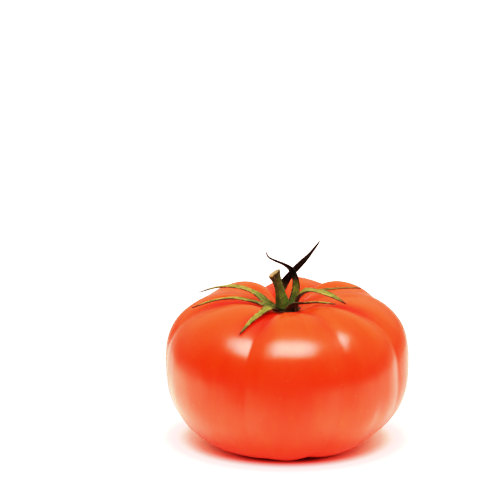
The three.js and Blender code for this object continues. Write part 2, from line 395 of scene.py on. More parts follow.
def mirrorStrength(tree, part, ahead):
    # Brighter towards the sides and dimmer behind, as the fruit mirrors it.
    sideways = mathNode(tree, "ABSOLUTE", part.outputs["X"])
    strength = mapRange(tree, sideways, *floorLook["sideAt"], *floorLook["sideGlow"])
    slanted = mathNode(tree, "MULTIPLY_ADD", part.outputs["X"], floorLook["backSlant"], ahead)
    behind = mapRange(tree, slanted, *floorLook["backAt"], floorLook["backGlow"], 1.0)
    return mathNode(tree, "MULTIPLY", strength, behind)


def addFloor():
    deselectAll()
    bpy.ops.mesh.primitive_plane_add(size=floorLook["size"], location=(0, 0, -floorLook["drop"]))
    floor = bpy.context.object
    floor.name = "floor"
    material, tree, shader = newMaterial("whiteFloor")
    place = addNode(tree, "ShaderNodeTexCoord").outputs["Object"]
    part = addNode(tree, "ShaderNodeSeparateXYZ", {"Vector": place})
    ray = addNode(tree, "ShaderNodeLightPath")
    reach = shadowReach(tree, place, floorLook["shadowNarrowing"])
    coreReach = shadowReach(tree, place, floorLook["coreNarrowing"])
    ahead = mathNode(tree, "MULTIPLY", part.outputs["Y"], -1.0)
    near = mapRange(tree, ahead, *floorLook["tableEdge"], 1.0, 0.0)
    distance = vectorNode(tree, "LENGTH", {0: place}, "Value")
    allRound = mapRange(tree, distance, *floorLook["tableReach"], 1.0, floorLook["farShare"])
    near = mathNode(tree, "MULTIPLY", near, allRound)
    # Glow outside the shadow, of its own strength for the camera, reflections and bounced light.
    kinds = [("Is Camera Ray", "seen", "shadowEdge", reach, 0.0),
             ("Is Glossy Ray", "mirrored", "mirrorEdge", coreReach, 0.0),
             ("Is Diffuse Ray", "bounced", "shadowEdge", reach, floorLook["bouncedInShadow"])]
    seen, mirrored, bounced = [
        mathNode(tree, "MULTIPLY", ray.outputs[kind],
                 mapRange(tree, span, *floorLook[edge], darkest, floorLook[strength]))
        for kind, strength, edge, span, darkest in kinds]
    mirrored = mathNode(tree, "MULTIPLY", mirrored, near)
    mirrored = mathNode(tree, "MULTIPLY", mirrored, mirrorStrength(tree, part, ahead))
    inside = mapRange(tree, reach, *floorLook["blushOuter"], 1.0, 0.0)
    blush = mathNode(tree, "MULTIPLY", mapRange(tree, reach, *floorLook["blushInner"]), inside)
    blush = mathNode(tree, "MULTIPLY", blush, ray.outputs["Is Camera Ray"])
    white = mathNode(tree, "ADD", seen, bounced)
    glow = vectorNode(tree, "SCALE", {0: (1, 1, 1), "Scale": white})
    for tint, strength in ((floorLook["mirrorTint"], mirrored), (floorLook["blush"], blush)):
        more = vectorNode(tree, "SCALE", {0: tint, "Scale": strength})
        glow = vectorNode(tree, "ADD", {0: glow, 1: more})
    setSurface(tree, shader, floorColour(tree, ray, near, coreReach), floorLook["surface"])
    tree.links.new(glow, shader.inputs["Emission Color"])
    # Seen from below the floor isn't there, so that the underside can be looked at.
    fromBelow = addNode(tree, "ShaderNodeNewGeometry").outputs["Backfacing"]
    tree.links.new(mathNode(tree, "SUBTRACT", 1.0, fromBelow), shader.inputs["Alpha"])
    floor.data.materials.append(material)


# Fruit

fruit = {
    "bellyWidth": 90,
    "bellyHeight": 31.1,
    "crownRise": 27.2,
    "crownFullness": 2.8,     # of the front and back shoulders
    "leftFullness": 2.6,
    "rightFullness": 3.0,
    "footDrop": 31.9,
    "footFullness": 2.3,
    "pitDepth": 7.4,
    "pitRadius": 13,
    "creaseStart": 2,
    "creaseFull": 17,
    "creaseSharpness": 0.8,
    "driftFrom": 60,
    "driftTo": 165,
    "columns": 360,
    "rows": 140,
    "swellLeft": 0.2,         # share of a lobe's swell that is left under the belly
    "waviness": 0.22,         # unevenness of the grown skin
    "waveScales": (0.055, 0.13),
    "waveStart": (8, 20),
    "pleatDepth": 0.13,       # small folds round the stem pit
    "pleats": [(13, 1.3, 1), (21, 4.1, 0.7), (34, 0, 0.5)],    # count, phase and share
    "pleatBegin": (5.5, 9),
    "pleatEnd": (10, 22),
    "furrowLip": 2,
    "furrowFade": 0.4,        # share of its length from which a furrow fades
    # furrows that run out of the pit: azimuth, where they begin and end, depth, half width
    "furrows": [
        (301, 7, 54, 0.22, 1.35),
        (318, 6, 17, 0.3, 1.1),
        (283, 6, 13, 0.2, 1.0),
        (222, 6, 15, 0.25, 1.2),
        (170, 7, 18, 0.25, 1.2),
        (82, 6, 19, 0.3, 1.3),
        (10, 7, 20, 0.25, 1.2),
    ],
    "grooveFoot": (4, 14),
    "grooveTop": (30, 44),
    # broad shallow grooves down the flank: azimuth, depth, half width
    "grooves": [(319, 0.32, 3.2), (236, 0.16, 3.0), (200, 0.22, 3.5), (130, 0.25, 3.5), (40, 0.25, 3.2)],
    # radius where the painted shade of the creases, a deeper red, begins and ends, and how deep it lies
    "valleyBegin": (3, 9),
    "valleyEnd": (24, 40),
    "valleyDepth": (0.35, 1.5),
    "scarRadius": 2.4,        # blossom scar under the fruit
    "scarDepth": 0.9,
    # azimuth at the shoulder, drift by the blossom end, depth, share of it left at that end,
    # swell of the next lobe, roundness of the valley
    "creases": [
        (29, 3, 0.6, 0.3, 1.5, 0.06),
        (59, 2, 1.3, 0.25, 0.8, 0.06),
        (108, -4, 3.6, 0.2, 0.9, 0.06),
        (150, 3, 0.4, 0.4, 0.1, 0.06),
        (183.5, -1, 1.8, 0.25, 0.6, 0.06),
        (250, 2, 2.5, 0.15, -0.2, 0.06),
        (297, -9, 0.9, 1.1, 0.5, 0.2),
        (336.5, -2, 1.9, 0.3, -0.3, 0.12),
    ],
}


def lobeOffset(polar, azimuth):
    drifted = smoothStep(polar, math.radians(fruit["driftFrom"]), math.radians(fruit["driftTo"]))
    creases = fruit["creases"]
    for index, (at, drift, depth, foot, swell, rounding) in enumerate(creases):
        nextAt, nextDrift, nextDepth, nextFoot, _, nextRounding = creases[(index + 1) % len(creases)]
        start = at + drift * drifted
        span = (nextAt + nextDrift * drifted - start) % 360
        share = ((azimuth - start) % 360) / span
        if share < 1:
            valley = blend(rounding, nextRounding, share)
            arch = math.hypot(math.sin(math.pi * share), valley)
            bulge = (arch - valley) / (math.hypot(1, valley) - valley)
            inward = blend(depth, nextDepth, share) * (1 - bulge ** fruit["creaseSharpness"])
            return inward, swell * math.sin(math.pi * share) ** 2, blend(foot, nextFoot, share)
    return 0, 0, 0


def skinAt(polar, azimuth):
    across, along = math.sin(polar), math.cos(polar)
    upper = along > 0
    sideways = math.cos(math.radians(azimuth))
    side = fruit["rightFullness"] if sideways > 0 else fruit["leftFullness"]
    crown = blend(fruit["crownFullness"], side, sideways ** 2)
    power = crown if upper else fruit["footFullness"]
    rise = fruit["crownRise"] if upper else -fruit["footDrop"]
    radius = fruit["bellyWidth"] / 2 * across
    height = fruit["bellyHeight"] + rise * max(1 - across ** power, 0) ** (1 / power)
    if upper:
        height -= fruit["pitDepth"] * math.exp(-((radius / fruit["pitRadius"]) ** 2))
    inward, outward, foot = lobeOffset(polar, azimuth)
    fadeIn = smoothStep(radius, fruit["creaseStart"], fruit["creaseFull"])
    fadeOut = smoothStep(height / (fruit["bellyHeight"] + fruit["crownRise"]), 0, 1)
    offset = (outward * blend(fruit["swellLeft"], 1, fadeOut) - inward * blend(foot, 1, fadeOut)) * fadeIn
    return radius + offset * across, height + offset * along


def overSkin(reach, azimuth, lift):
    low, high = 0, math.pi / 2
    for _ in range(40):
        middle = (low + high) / 2
        if skinAt(middle, azimuth)[0] < reach:
            low = middle
        else:
            high = middle
    return around(reach, azimuth, skinAt(low, azimuth)[1] + lift)


def skinDetail(polar, azimuth, radius, place):
    # Gentle unevenness all over, and small folds that run into the stem pit.
    broad, fine = fruit["waveScales"]
    wave = noise.noise(place * broad) + 0.5 * noise.noise(place * fine + Vector((7, 3, 1)))
    detail = wave * fruit["waviness"] * smoothStep(radius, *fruit["waveStart"])
    for at, depth, halfWidth in fruit["grooves"]:
        aside = radius * math.radians((azimuth - at + 180) % 360 - 180) / halfWidth
        flank = smoothStep(place.z, *fruit["grooveFoot"]) * (1 - smoothStep(place.z, *fruit["grooveTop"]))
        detail -= depth * flank * math.exp(-aside * aside)
    if polar < math.pi / 2:
        turn = math.radians(azimuth)
        folds = sum(share * math.sin(count * turn + phase) for count, phase, share in fruit["pleats"])
        window = smoothStep(radius, *fruit["pleatBegin"]) * (1 - smoothStep(radius, *fruit["pleatEnd"]))
        detail += folds * fruit["pleatDepth"] * window
        for at, begin, end, depth, halfWidth in fruit["furrows"]:
            aside = radius * math.radians((azimuth - at + 180) % 360 - 180) / halfWidth
            opening = smoothStep(radius, begin - fruit["furrowLip"], begin + fruit["furrowLip"])
            fading = 1 - smoothStep(radius, blend(begin, end, fruit["furrowFade"]), end)
            detail -= depth * (opening * fading) * math.exp(-aside * aside)
    return detail


def creaseShadeAmount(polar, azimuth, radius):
    # How deep a point lies between two lobes of the crown, for the painted shade there, a deeper red.
    if polar > math.pi / 2:
        return 0
    inward = lobeOffset(polar, azimuth)[0]
    reach = smoothStep(radius, *fruit["valleyBegin"]) * (1 - smoothStep(radius, *fruit["valleyEnd"]))
    return smoothStep(inward, *fruit["valleyDepth"]) * reach


def makeFruit(material):
    deselectAll()
    bpy.ops.mesh.primitive_uv_sphere_add(
        segments=fruit["columns"], ring_count=fruit["rows"], radius=1, calc_uvs=False)
    skin = bpy.context.object
    creaseShadeAmounts = []
    for vertex in skin.data.vertices:
        polar = math.acos(max(-1, min(1, vertex.co.z)))
        azimuth = math.degrees(math.atan2(vertex.co.y, vertex.co.x)) % 360
        radius, height = skinAt(polar, azimuth)
        creaseShadeAmounts.append(creaseShadeAmount(polar, azimuth, radius))
        if polar < 1e-3 or polar > math.pi - 1e-3:
            radius = 0
        detail = skinDetail(polar, azimuth, radius, around(radius, azimuth, height))
        radius += detail * math.sin(polar)
        height += detail * math.cos(polar)
        if polar > math.pi / 2:
            scar = fruit["scarDepth"] * math.exp(-((radius / fruit["scarRadius"]) ** 2))
            height = max(height, 0) + scar
        vertex.co = around(radius, azimuth, height) * mm
    skin.data.attributes.new("valley", "FLOAT", "POINT").data.foreach_set("value", creaseShadeAmounts)
    bpy.ops.object.shade_smooth()
    finishPiece(skin, "fruitSkin", "fruit", material)
    return skin


skinLook = {
    "red": (0.80, 0.052, 0.005, 1),
    "deepRed": (0.77, 0.040, 0.004, 1),      # in patches
    "deepShare": 0.6,
    "orange": (0.84, 0.095, 0.010, 1),       # on pale streaks and on the crown
    "streaks": {"Scale": 9.0, "Detail": 4.0, "Roughness": 0.6},
    "streakRise": 8.0,        # the smaller, the longer the streaks
    "paleStreaks": (0.4, 0.8, 0.0, 0.22),
    "crown": (0.036, 0.058),
    "crownStreaks": (0.25, 0.75, 0.6, 0.95),
    # Painted shade: a deeper red down in the crease valleys, where shade falls.
    "paintedCreaseShade": (0.74, 0.012, 0.003, 1),
    "paintedCreaseShadeShare": 0.85,
    "dots": {"Scale": 420.0, "Size": 0.16, "Share": 0.22},
    "dotOrange": (0.95, 0.30, 0.05, 1),
    "dotShare": 0.22,
    "patches": {"Patch Scale": 55.0, "Grain Scale": 260.0, "Grain Share": 0.2},
    "cork": (0.20, 0.09, 0.03, 1),
    "corkTop": 0.004,
    "corkEdge": (0.0018, 0.0032),
    "corkRag": 0.0012,
    "corkRoughness": 0.5,
    "roughness": 0.215,
    "streakRoughness": 0.05,
    "ribBump": {"Strength": 0.4, "Distance": 0.00022},
    "pores": {"Scale": 900.0, "Detail": 3.0},
    "poreBump": {"Strength": 0.3, "Distance": 0.00006},
    "surface": {"IOR": 1.45, "Subsurface Weight": 0.25, "Subsurface Radius": (1.0, 0.2, 0.08),
                "Subsurface Scale": 0.004},
}


def makeSkinMaterial(mottle, specks):
    look = skinLook
    material, tree, shader = newMaterial("tomatoSkin")
    place = addNode(tree, "ShaderNodeTexCoord").outputs["Object"]
    part = addNode(tree, "ShaderNodeSeparateXYZ", {"Vector": place})
    patches = groupMask(tree, mottle, place, look["patches"])
    # Streaks that run from the stem to the blossom end.
    flat = addNode(tree, "ShaderNodeCombineXYZ", {
        "X": part.outputs["X"], "Y": part.outputs["Y"]}).outputs[0]
    tall = mathNode(tree, "MULTIPLY", part.outputs["Z"], look["streakRise"])
    tall = addNode(tree, "ShaderNodeCombineXYZ", {"Z": tall}).outputs[0]
    unitFlat = vectorNode(tree, "NORMALIZE", {0: flat})
    streaks = addNoise(tree, vectorNode(tree, "ADD", {0: unitFlat, 1: tall}), look["streaks"])
    colour = cover(tree, look["red"], patches, look["deepShare"], look["deepRed"])
    colour = mixColour(tree, mapRange(tree, streaks, *look["paleStreaks"]), colour, look["orange"])
    crown = mapRange(tree, part.outputs["Z"], *look["crown"])
    colour = cover(tree, colour, crown, mapRange(tree, streaks, *look["crownStreaks"]), look["orange"])
    # Painted shade in the crease valleys.
    colour = cover(tree, colour, readAttribute(tree, "valley"), look["paintedCreaseShadeShare"], look["paintedCreaseShade"])
    dots = groupMask(tree, specks, place, look["dots"])
    colour = cover(tree, colour, dots, look["dotShare"], look["dotOrange"])
    # Cork in the blossom scar.
    under = mathNode(tree, "LESS_THAN", part.outputs["Z"], look["corkTop"])
    reach = vectorNode(tree, "LENGTH", {0: flat}, "Value")
    reach = mathNode(tree, "MULTIPLY_ADD", patches, look["corkRag"], reach)
    cork = mathNode(tree, "MULTIPLY", under, mapRange(tree, reach, *look["corkEdge"], 1.0, 0.0))
    colour = mixColour(tree, cork, colour, look["cork"])
    rough = mathNode(tree, "MULTIPLY_ADD", streaks, look["streakRoughness"], look["roughness"])
    rough = mathNode(tree, "MULTIPLY_ADD", cork, look["corkRoughness"], rough)
    tree.links.new(rough, shader.inputs["Roughness"])
    ribs = addNode(tree, "ShaderNodeBump", {**look["ribBump"], "Height": streaks})
    pores = addNoise(tree, place, look["pores"])
    bump = addNode(tree, "ShaderNodeBump", {
        **look["poreBump"], "Height": pores, "Normal": ribs.outputs["Normal"]})
    tree.links.new(bump.outputs["Normal"], shader.inputs["Normal"])
    setSurface(tree, shader, colour, look["surface"])
    return material


# Calyx

calyx = {
    "hubRadius": 5.0,
    "hubGap": 0.4,
    "hubThickness": 0.8,
    "hubShares": (0.4, 0.55),     # of it under and over the hub's middle
    "hubLobes": 8,
    "hubLobeDepth": 0.05,
    "hubSides": 64,
    "hubRings": 24,
    "tipHalfWidth": 0.3,
    "fullWidthAt": 0.3,       # shares of the length: where it is widest, and where the tip rounds off
    "pointAt": 0.9,
    "pointWidth": 0.2,
    "channel": 0.3,
    "channelRound": 0.15,
    "midribThickness": 0.8,
    "midribWidth": 0.22,
    "rimThickness": 0.4,
    "slimShare": 0.6,         # of the thickness that the narrowest blade keeps
    "rows": 80,
    "columns": 12,
    "ripple": 0.12,
    "rippleTurns": (17, 1.4),     # along and across
    "ragged": 0.05,
    "raggedScale": (26, 1.3),
    "tipFrom": (0.72, 0.98),  # the tip dries over this share of the length
    "tipDryness": 0.6,
    "phaseStep": 1.7,
}

# Half widths at the root and where widest, roll at the root and at the tip in degrees, how late the
# blade narrows, how dry it is (the two upright sepals darken to near black instead) and over which share
# of its length that sets in, and the midrib: reach, azimuth and lift over the skin, or plain points if
# upright.
sepals = [
    {"name": "uprightLeft", "half": (1.7, 1.6), "roll": (35, -15), "taper": 2.5, "dry": 0.95,
     "darkening": (0.28, 0.5), "upright": True,
     "path": [(1.7, 1.9, 52.0), (2.4, 3.2, 54.6), (3.2, 3.8, 57.6), (3.5, 4.0, 60.5), (3.1, 3.9, 63.4),
              (1.6, 3.6, 66.5), (-1.1, 3.2, 68.5), (-4.4, 3.0, 69.9), (-6.7, 2.9, 71.2), (-7.7, 2.8, 73.1)]},
    {"name": "uprightRight", "half": (1.3, 1.95), "roll": (0, 25), "taper": 2.5, "dry": 1.0,
     "darkening": (0.1, 0.4), "upright": True,
     "path": [(-1.7, 3.6, 52.4), (-2.2, 4.4, 55.0), (-2.0, 4.8, 59.0), (-0.1, 5.2, 62.6), (3.6, 5.6, 66.7),
              (8.1, 6.8, 71.2), (12.1, 8.0, 76.0)]},
    {"name": "backLeft", "half": (1.6, 1.9), "roll": (-20, -10), "taper": 1.5, "dry": 0.15, "upright": False,
     "path": [(4.6, 172, 1.0), (8.3, 167, 1.5), (12.5, 161, 2.0), (18.8, 161, 2.3), (27, 161.5, 2.5),
              (34, 162, 2.9)]},
    {"name": "left", "half": (1.5, 1.6), "roll": (-10, -5), "taper": 1.5, "dry": 0.2, "upright": False,
     "path": [(4.6, 200, 1.0), (8.4, 191, 1.1), (12.8, 187, 1.5), (19, 186.5, 1.9), (26, 186.5, 2.4),
              (34.6, 186.5, 3.6)]},
    {"name": "frontLeft", "half": (1.7, 1.8), "roll": (0, 0), "taper": 1.5, "dry": 0.05, "upright": False,
     "path": [(5, 222, 0.7), (8.5, 227, 1.0), (13, 239, 1.4), (19, 243, 1.2), (26, 242.5, 1.1),
              (34.6, 241, 1.1)]},
    {"name": "frontRight", "half": (3.0, 1.2), "roll": (0, 35), "taper": 1.5, "dry": 0.25, "upright": False,
     "path": [(3.5, 302, 0.9), (4.2, 303, 2.7), (6.2, 312, 3.3), (9.2, 318, 2.6), (14.5, 320, 1.6),
              (22.3, 321.5, 1.6)]},
    {"name": "right", "half": (1.8, 2.5), "roll": (18, 85), "taper": 1.5, "dry": 0.1, "upright": False,
     "path": [(4.8, 320, 0.8), (4.9, 322, 3.3), (5.4, 330, 6.1), (7.4, 340, 7.4), (12, 343, 5.6),
              (17.4, 342, 3.4), (22.8, 340, 1.3)]},
    {"name": "backRight", "half": (1.2, 0.95), "roll": (0, 0), "taper": 1.5, "dry": 0.45, "upright": False,
     "path": [(2.9, 32, 0.9), (5.5, 38, 3.2), (8.2, 33, 4.2), (13, 23, 2.9), (21, 20, 1.7), (29.1, 20, 2.3)]},
]


def splinePoint(points, share):
    # Centripetal Catmull-Rom through the points.
    place = (len(points) - 1) * share
    index = min(int(place), len(points) - 2)
    local = place - index
    start, end = points[index], points[index + 1]
    before = points[index - 1] if index else start * 2 - end
    after = points[index + 2] if index + 2 < len(points) else end * 2 - start
    first, middle, last = [max((b - a).length ** 0.5, 1e-6) for a, b in (
        (before, start), (start, end), (end, after))]
    leaving = ((start - before) / first - (end - before) / (first + middle) + (end - start) / middle) * middle
    arriving = ((end - start) / middle - (after - start) / (middle + last) + (after - end) / last) * middle
    a = 2 * (start - end) + leaving + arriving
    b = 3 * (end - start) - 2 * leaving - arriving
    return ((a * local + b) * local + leaving) * local + start


def evenPath(points, count):
    # Places and directions at even steps along the spline, count + 1 of them.
    fine = [splinePoint(points, step / 600) for step in range(601)]
    lengths = [0]
    for a, b in zip(fine, fine[1:]):
        lengths.append(lengths[-1] + (b - a).length)
    places, index = [], 0
    for step in range(count + 1):
        wanted = lengths[-1] * step / count
        while index < 599 and lengths[index + 1] < wanted:
            index += 1
        gap = max(lengths[index + 1] - lengths[index], 1e-9)
        places.append(fine[index].lerp(fine[index + 1], min((wanted - lengths[index]) / gap, 1)))
    headings = []
    for step in range(count + 1):
        ahead = places[min(step + 1, count)] - places[max(step - 1, 0)]
        headings.append(ahead.normalized())
    return places, headings


def sideDirections(headings, firstSide, rootRoll, tipRoll):
    # Carries the side direction along the path without twisting, then adds the roll.
    side = (firstSide - headings[0] * firstSide.dot(headings[0])).normalized()
    sides = [side]
    for before, heading in zip(headings, headings[1:]):
        side = before.rotation_difference(heading) @ side
        side = (side - heading * side.dot(heading)).normalized()
        sides.append(side)
    last = len(sides) - 1
    return [Matrix.Rotation(math.radians(blend(rootRoll, tipRoll, index / last)), 3, headings[index]) @ side
            for index, side in enumerate(sides)]


def sepalHalfWidth(share, sepal):
    root, widest = sepal["half"]
    blade = blend(root, widest, smoothStep(share, 0, calyx["fullWidthAt"]))
    half = calyx["tipHalfWidth"] + (blade - calyx["tipHalfWidth"]) * (1 - share ** sepal["taper"])
    past = max(share - calyx["pointAt"], 0) / (1 - calyx["pointAt"])
    return half * blend(calyx["pointWidth"], 1, math.sqrt(max(1 - past ** 2, 0)))


def makeSepal(sepal, phase):
    rows = calyx["rows"]
    points = [Vector(spot) if sepal["upright"] else overSkin(*spot) for spot in sepal["path"]]
    places, headings = evenPath(points, rows)
    outward = Vector((places[0].x, places[0].y, 0)).normalized()
    sides = sideDirections(headings, outward.cross(Vector((0, 0, 1))), *sepal["roll"])
    deselectAll()
    bpy.ops.mesh.primitive_grid_add(x_subdivisions=calyx["columns"], y_subdivisions=rows, size=2)
    blade = bpy.context.object
    blade.name = "sepal." + sepal["name"]
    thick = blade.vertex_groups.new(name="thick")
    slim = calyx["rimThickness"] / calyx["midribThickness"]
    bend, (along, sidelong) = calyx["channelRound"], calyx["rippleTurns"]
    drying = []
    for vertex in blade.data.vertices:
        across = vertex.co.x
        row = round((vertex.co.y + 1) / 2 * rows)
        share = row / rows
        half = sepalHalfWidth(share, sepal)
        face = sides[row].cross(headings[row])
        fold = calyx["channel"] * half * (math.hypot(across, bend) - bend)
        wave = math.sin(along * share + phase + sidelong * across)
        ripple = calyx["ripple"] * half * across * across * wave
        tear = Vector((share * calyx["raggedScale"][0], across * calyx["raggedScale"][1], phase))
        ragged = 1 + calyx["ragged"] * noise.noise(tear)
        spot = places[row] + sides[row] * across * half * ragged + face * (fold + ripple)
        vertex.co = spot * mm
        midrib = math.exp(-((across / calyx["midribWidth"]) ** 2))
        weight = blend(slim, 1, midrib) * blend(calyx["slimShare"], 1, min(half, 1))
        thick.add([vertex.index], weight, "REPLACE")
        tip = smoothStep(share, *calyx["tipFrom"])
        darkening = smoothStep(share, *sepal["darkening"]) if "darkening" in sepal else 1
        drying.append(max(sepal["dry"] * darkening, tip * calyx["tipDryness"]))
    sheet = blade.data
    sheet.attributes.new("dryness", "FLOAT", "POINT").data.foreach_set("value", drying)
    wall = blade.modifiers.new("thickness", "SOLIDIFY")
    wall.thickness = calyx["midribThickness"] * mm
    wall.offset = 0
    wall.vertex_group = "thick"
    applyModifiers(blade)
    # The second half of the vertices is the lower face, which gets painted shade.
    count = len(sheet.vertices)
    lower = [1.0 if index >= count // 2 else 0.0 for index in range(count)]
    sheet.attributes.new("underside", "FLOAT", "POINT").data.foreach_set("value", lower)
    finer = blade.modifiers.new("smooth", "SUBSURF")
    finer.levels = finer.render_levels = 1
    applyModifiers(blade)
    return blade


def makeHub():
    # Dish that the sepals grow from: a disc pressed into the pit.
    deselectAll()
    bpy.ops.mesh.primitive_uv_sphere_add(segments=calyx["hubSides"], ring_count=calyx["hubRings"], radius=1)
    hub = bpy.context.object
    hub.name = "hub"
    lower, upper = calyx["hubShares"]
    for vertex in hub.data.vertices:
        flat = math.hypot(vertex.co.x, vertex.co.y)
        azimuth = math.degrees(math.atan2(vertex.co.y, vertex.co.x)) % 360
        lobes = calyx["hubLobeDepth"] * math.sin(math.radians(azimuth * calyx["hubLobes"]))
        reach = calyx["hubRadius"] * flat * (1 + lobes * flat)
        level = overSkin(max(reach, 0.2), 0, calyx["hubGap"]).z + calyx["hubThickness"] * lower
        thickness = calyx["hubThickness"] * (upper if vertex.co.z > 0 else lower)
        vertex.co = around(reach, azimuth, level + vertex.co.z * thickness) * mm
    hub.data.attributes.new("dryness", "FLOAT", "POINT")
    # The whole hub takes the painted shade of the lower faces.
    hub.data.attributes.new("underside", "FLOAT", "POINT").data.foreach_set(
        "value", [1.0] * len(hub.data.vertices))
    return hub


def makeCalyx(material):
    parts = [makeHub()]
    for index, sepal in enumerate(sepals):
        parts.append(makeSepal(sepal, calyx["phaseStep"] * index))
    deselectAll()
    for part in parts:
        part.select_set(True)
    bpy.context.view_layer.objects.active = parts[0]
    bpy.ops.object.join()
    star = bpy.context.object
    bpy.ops.object.shade_smooth()
    finishPiece(star, "calyxStar", "calyx", material)
    return star


sepalLook = {
    "patches": {"Patch Scale": 420.0, "Grain Scale": 2200.0, "Grain Share": 0.35},
    "veins": {"Scale": 1.6, "Detail": 4.0, "Roughness": 0.6},
    "veinStretch": (9.0, 1.6, 1.0),
    "veinPatches": 0.3,       # how far the patches push each border about
    "rootPatches": 0.2,
    "dryPatches": 0.25,
    "edgeVeins": 0.16,        # and how far the veins push the margin
    "lightRange": (0.4, 0.85),
    "darkGreen": (0.045, 0.095, 0.014, 1),
    "lightGreen": (0.36, 0.40, 0.08, 1),
    "rootGreen": (0.060, 0.115, 0.018, 1),
    "rootRange": (0.12, 0.5, 0.75, 0.0),
    "ribGreen": (0.045, 0.085, 0.016, 1),
    "ribRange": (0.02, 0.08, 1.0, 0.0),
    "ribShare": 0.55,
    "darkMargin": (0.030, 0.036, 0.010, 1),
    "tanMargin": (0.33, 0.22, 0.08, 1),
    "tanRange": (0.45, 0.7),
    "edgeRange": (0.40, 0.52),
    "edgeShare": 0.85,
    # Painted shade: a dark maroon for the lower faces and the hub, standing in for the shade and red light
    # under the blades.
    "under": (0.05, 0.018, 0.012, 1),
    "underShadeShare": 0.9,
    # The near-black end of this ramp is reached only by the two upright sepals.
    "dryTones": [(0.45, (0.12, 0.06, 0.025, 1)), (0.95, (0.004, 0.0015, 0.0015, 1))],
    "dryRange": (0.35, 0.8),
    "bump": {"Strength": 0.5, "Distance": 0.00025},
    "surface": {"Roughness": 0.55, "Specular IOR Level": 0.3, "Subsurface Weight": 0.1,
                "Subsurface Radius": (0.5, 1.0, 0.2), "Subsurface Scale": 0.0008},
}


def makeSepalMaterial(mottle):
    look = sepalLook
    material, tree, shader = newMaterial("sepalGreen")
    place = addNode(tree, "ShaderNodeTexCoord").outputs["Object"]
    sheet = addNode(tree, "ShaderNodeUVMap").outputs["UV"]
    across = addNode(tree, "ShaderNodeSeparateXYZ", {"Vector": sheet})
    fromMiddle = mathNode(tree, "ABSOLUTE", mathNode(tree, "SUBTRACT", across.outputs["X"], 0.5))
    dryness = readAttribute(tree, "dryness")
    patches = groupMask(tree, mottle, place, look["patches"])
    # Veins that run along the blade.
    stretched = vectorNode(tree, "MULTIPLY", {0: sheet, 1: look["veinStretch"]})
    veins = addNoise(tree, stretched, look["veins"])
    lightness = mathNode(tree, "MULTIPLY_ADD", patches, look["veinPatches"], veins)
    lightness = mapRange(tree, lightness, *look["lightRange"])
    colour = mixColour(tree, lightness, look["darkGreen"], look["lightGreen"])
    root = mathNode(tree, "MULTIPLY_ADD", patches, look["rootPatches"], across.outputs["Y"])
    colour = mixColour(tree, mapRange(tree, root, *look["rootRange"]), colour, look["rootGreen"])
    rib = mapRange(tree, fromMiddle, *look["ribRange"])
    colour = cover(tree, colour, rib, look["ribShare"], look["ribGreen"])
    edge = mathNode(tree, "MULTIPLY_ADD", veins, look["edgeVeins"], fromMiddle)
    edge = mapRange(tree, edge, *look["edgeRange"])
    tan = mapRange(tree, patches, *look["tanRange"])
    margin = mixColour(tree, tan, look["darkMargin"], look["tanMargin"])
    colour = cover(tree, colour, edge, look["edgeShare"], margin)
    # Painted shade on the lower faces and the hub.
    colour = cover(tree, colour, readAttribute(tree, "underside"), look["underShadeShare"], look["under"])
    ramp = addNode(tree, "ShaderNodeValToRGB", {"Fac": dryness})
    for stop, (position, tone) in zip(ramp.color_ramp.elements, look["dryTones"]):
        stop.position = position
        stop.color = tone
    dried = mathNode(tree, "MULTIPLY_ADD", patches, look["dryPatches"], dryness)
    colour = mixColour(tree, mapRange(tree, dried, *look["dryRange"]), colour, ramp.outputs["Color"])
    bump = addNode(tree, "ShaderNodeBump", {**look["bump"], "Height": lightness})
    tree.links.new(bump.outputs["Normal"], shader.inputs["Normal"])
    setSurface(tree, shader, colour, look["surface"])
    return material


# Stem

stem = {
    "foot": (-1.2, -0.3, 53.2),
    "bend": (-2.25, -0.3, 58.2),
    "neck": (-3.35, -0.3, 62.4),
    "top": (-4.7, -0.3, 66.1),
    "footRadius": 2.6,
    "neckRadius": 1.6,
    "neckAt": 0.6,            # share of the height
    "knuckle": 0.75,          # swelling at the top, and how far down it reaches
    "knuckleReach": 0.16,
    "footTilt": 6,
    "topTilt": 34,
    "tiltFrom": 0.3,
    "sides": 56,
    "rows": 72,
    "ridges": 6,
    "fineRidges": 11,
    "ridgeDepth": 0.042,
    "ridgeTwist": 0.8,
    "lumpDepth": 0.05,
    "lumpScale": (1.4, 9),    # round and up the stem
    "softAngle": 50,
    "hollow": 0.7,            # dip in the broken end
}


def stemRadius(share):
    waist = blend(stem["footRadius"], stem["neckRadius"], smoothStep(share, 0, stem["neckAt"]))
    knuckle = stem["knuckle"] * math.exp(-(((share - 1) / stem["knuckleReach"]) ** 2))
    return waist + knuckle


